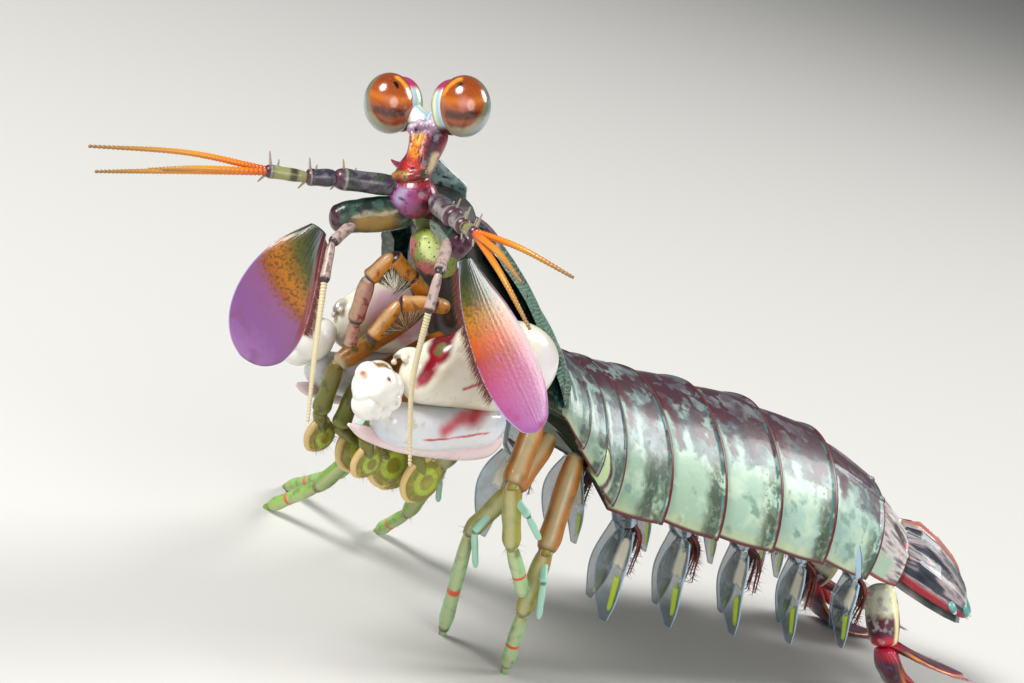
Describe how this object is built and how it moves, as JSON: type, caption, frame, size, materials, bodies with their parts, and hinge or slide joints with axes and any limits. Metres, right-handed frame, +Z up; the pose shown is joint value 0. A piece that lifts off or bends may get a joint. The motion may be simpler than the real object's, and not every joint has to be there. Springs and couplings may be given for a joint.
{
  "type": "mantis shrimp",
  "caption": "Life-size mantis shrimp standing on its walking legs with its front raised, eyes on stalks, clubs folded and tail fan on the floor.",
  "frame": {"origin": "floor under the middle of the whole body's bounding box", "axes": "+Z up, +Y towards the tail, +X towards the animal's left"},
  "size_m": [0.0542, 0.0956, 0.0477],
  "materials": {
    "tergite_shell": "semi-gloss, mottled",
    "carapace_shell": "semi-gloss, mottled",
    "mouth_region": "semi-gloss",
    "head": "gloss",
    "eyestalk": "gloss, pearly",
    "eye": "gloss, banded",
    "antennule": "semi-gloss",
    "antennal_scale": "satin, shaded along its length",
    "antenna": "semi-gloss",
    "claw": "gloss",
    "first_maxilliped": "semi-gloss",
    "maxilliped": "semi-gloss",
    "walking_leg": "semi-gloss",
    "pleopod": "gloss, pale",
    "telson": "semi-gloss",
    "uropod": "gloss"
  },
  "bodies": {
    "root": {"abdomen_somite_1": "tergite_shell", "abdomen_somite_2": "tergite_shell", "abdomen_somite_3": "tergite_shell", "abdomen_somite_4": "tergite_shell", "abdomen_somite_5": "tergite_shell", "abdomen_somite_6": "tergite_shell", "antenna_left": "antenna", "antenna_right": "antenna", "antennal_scale_left": "antennal_scale", "antennal_scale_right": "antennal_scale", "antennule_left": "antennule", "antennule_right": "antennule", "carapace": "carapace_shell", "claw_carpus_left": "claw", "claw_carpus_right": "claw", "claw_dactyl_left": "claw", "claw_dactyl_right": "claw", "claw_merus_left": "claw", "claw_merus_right": "claw", "claw_propodus_left": "claw", "claw_propodus_right": "claw", "eye_left": "eye", "eye_right": "eye", "eyestalk_left": "eyestalk", "eyestalk_right": "eyestalk", "head": "head", "maxilliped_1_left": "first_maxilliped", "maxilliped_1_right": "first_maxilliped", "maxilliped_3_left": "maxilliped", "maxilliped_3_right": "maxilliped", "maxilliped_4_left": "maxilliped", "maxilliped_4_right": "maxilliped", "maxilliped_5_left": "maxilliped", "maxilliped_5_right": "maxilliped", "pleopod_1_left": "pleopod", "pleopod_1_right": "pleopod", "pleopod_2_left": "pleopod", "pleopod_2_right": "pleopod", "pleopod_3_left": "pleopod", "pleopod_3_right": "pleopod", "pleopod_4_left": "pleopod", "pleopod_4_right": "pleopod", "pleopod_5_left": "pleopod", "pleopod_5_right": "pleopod", "rostral_plate": "carapace_shell", "telson": "telson", "thorax": "mouth_region", "thorax_somite_6": "tergite_shell", "thorax_somite_7": "tergite_shell", "thorax_somite_8": "tergite_shell", "uropod_left": "uropod", "uropod_right": "uropod", "walking_leg_1_left": "walking_leg", "walking_leg_1_right": "walking_leg", "walking_leg_2_left": "walking_leg", "walking_leg_2_right": "walking_leg", "walking_leg_3_left": "walking_leg", "walking_leg_3_right": "walking_leg"}
  },
  "joints": []
}
